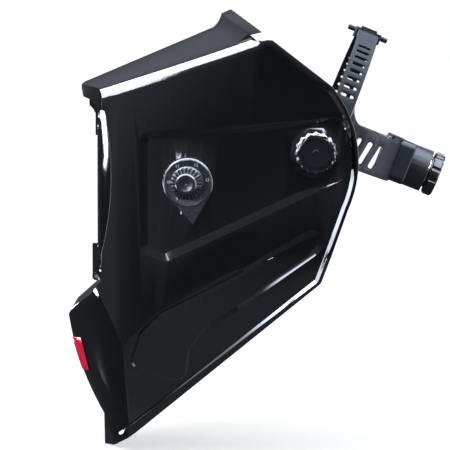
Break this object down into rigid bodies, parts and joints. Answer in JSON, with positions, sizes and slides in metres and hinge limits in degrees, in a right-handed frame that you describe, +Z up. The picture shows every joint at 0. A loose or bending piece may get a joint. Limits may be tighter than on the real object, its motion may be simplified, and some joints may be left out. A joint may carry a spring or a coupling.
{
  "type": "auto-darkening welding helmet",
  "caption": "Gloss black welding helmet with a hinged cover-lens frame, filter cartridge, side shade dial, tilting pivots and ratchet headgear.",
  "frame": {"origin": "middle of the side pivot axis, between the wearer's temples", "axes": "+Z up, -Y the way the face looks, +X the wearer's left"},
  "size_m": [0.245, 0.2956, 0.3415],
  "materials": {
    "shell_gloss_black": "gloss black",
    "gloss_black_plastic": "gloss black",
    "knob_black_plastic": "satin black",
    "matte_black_plastic": "matte black",
    "band_black_plastic": "semi-gloss black",
    "grey_plastic": "satin grey",
    "red_plastic": "gloss red",
    "badge_red": "gloss red",
    "clear_polycarbonate": "clear",
    "filter_glass_green": "polished dark green",
    "solar_cell_brown": "polished dark",
    "sensor_violet": "polished dark violet",
    "circuit_board_green": "solder mask green",
    "zinc_steel": "zinc plated",
    "polished_steel": "polished",
    "cable_rubber": "matte black",
    "fibre_washer": "pressed fibre",
    "sweatband_cloth": "black cloth over foam"
  },
  "bodies": {
    "headgear": {"headband_front": "band_black_plastic", "headband_rear_left": "band_black_plastic", "headband_rear_right": "band_black_plastic", "crown_strap_left": "band_black_plastic", "crown_strap_right": "band_black_plastic", "crown_buckle": "band_black_plastic", "side_arm_left": "band_black_plastic", "side_arm_right": "band_black_plastic", "band_rivets": "matte_black_plastic", "sweatband": "sweatband_cloth"},
    "carriage": {"pivot_bolt_left": "matte_black_plastic", "pivot_bolt_right": "matte_black_plastic", "tilt_limiter_left": "matte_black_plastic", "tilt_limiter_right": "matte_black_plastic", "friction_washer_left": "fibre_washer", "friction_washer_right": "fibre_washer", "tension_nut_left": "zinc_steel", "tension_nut_right": "zinc_steel"},
    "shell_body": {"shell": "shell_gloss_black", "dial_base": "gloss_black_plastic", "chin_badge": "badge_red", "cartridge_holder": "matte_black_plastic", "holder_screws": "zinc_steel", "filter_housing_front": "matte_black_plastic", "filter_housing_rear": "matte_black_plastic", "filter_glass": "filter_glass_green", "solar_cell": "solar_cell_brown", "arc_sensors": "sensor_violet", "inner_cover_lens": "clear_polycarbonate", "circuit_board": "circuit_board_green", "shade_potentiometer": "grey_plastic", "potentiometer_nut": "zinc_steel", "shade_cable": "cable_rubber", "cable_clips": "matte_black_plastic"},
    "lens_door": {"lens_frame": "gloss_black_plastic", "cover_lens": "clear_polycarbonate", "frame_hinge_pins": "polished_steel"},
    "shade_dial": {"shade_knob": "knob_black_plastic", "potentiometer_shaft": "zinc_steel"},
    "tension_left": {"tension_knob_left": "gloss_black_plastic", "knob_cap_left": "knob_black_plastic"},
    "tension_right": {"tension_knob_right": "gloss_black_plastic", "knob_cap_right": "knob_black_plastic"},
    "sensitivity": {"sensitivity_knob": "grey_plastic"},
    "delay": {"delay_knob": "grey_plastic"},
    "test": {"test_button": "red_plastic"},
    "mode": {"mode_switch": "grey_plastic"},
    "tray": {"battery_tray": "matte_black_plastic", "coin_cell": "zinc_steel"},
    "ratchet": {"ratchet_housing": "matte_black_plastic", "rear_cradle": "matte_black_plastic", "rear_pad": "sweatband_cloth", "detent_ring": "polished_steel"},
    "ratchet_spindle": {"ratchet_knob": "matte_black_plastic", "ratchet_pinion": "grey_plastic"}
  },
  "joints": [
    {"name": "fore_aft_slide", "type": "slide", "parent": "headgear", "child": "carriage", "axis": [0, -0.9304, 0.3665], "range_m": [0, 0.018]},
    {"name": "shell_tilt", "type": "hinge", "parent": "carriage", "child": "shell_body", "pos_m": [0, 0, 0], "axis": [-1, 0, 0], "range_deg": [0, 75]},
    {"name": "lens_door_hinge", "type": "hinge", "parent": "shell_body", "child": "lens_door", "pos_m": [0, -0.1676, -0.0975], "axis": [1, 0, 0], "range_deg": [0, 90]},
    {"name": "shade_dial_turn", "type": "hinge", "parent": "shell_body", "child": "shade_dial", "pos_m": [0.10698, -0.096, -0.023], "axis": [0.985, -0.1541, -0.0775], "range_deg": [0, 283]},
    {"name": "tension_left_turn", "type": "hinge", "parent": "carriage", "child": "tension_left", "pos_m": [0.117, 0, 0], "axis": [1, 0, 0], "range_deg": [0, 360]},
    {"name": "tension_right_turn", "type": "hinge", "parent": "carriage", "child": "tension_right", "pos_m": [-0.117, 0, 0], "axis": [1, 0, 0], "range_deg": [0, 360]},
    {"name": "sensitivity_turn", "type": "hinge", "parent": "shell_body", "child": "sensitivity", "pos_m": [-0.034, -0.146, -0.0575], "axis": [0, 1, 0], "range_deg": [0, 270]},
    {"name": "delay_turn", "type": "hinge", "parent": "shell_body", "child": "delay", "pos_m": [-0.014, -0.146, -0.0575], "axis": [0, 1, 0], "range_deg": [0, 270]},
    {"name": "test_press", "type": "slide", "parent": "shell_body", "child": "test", "axis": [0, -1, 0], "range_m": [0, 0.0008], "stiffness_N_per_m": 900, "springref_m": -0.0005},
    {"name": "mode_slide", "type": "slide", "parent": "shell_body", "child": "mode", "axis": [1, 0, 0], "range_m": [0, 0.004]},
    {"name": "battery_tray_slide", "type": "slide", "parent": "shell_body", "child": "tray", "axis": [0, 0, -1], "range_m": [0, 0.024]},
    {"name": "headband_size", "type": "slide", "parent": "headgear", "child": "ratchet", "axis": [0, 0.9304, -0.3665], "range_m": [0, 0.025], "deforming": ["headband_rear_left", "headband_rear_right"]},
    {"name": "ratchet_knob_turn", "type": "hinge", "parent": "ratchet", "child": "ratchet_spindle", "pos_m": [0, 0.08015, -0.01481], "axis": [0, 0.9304, -0.3665], "range_deg": [0, 340]}
  ],
  "couplings": [
    {"joint": "ratchet_knob_turn", "follows": "headband_size", "rad_per_m": 232.71}
  ]
}
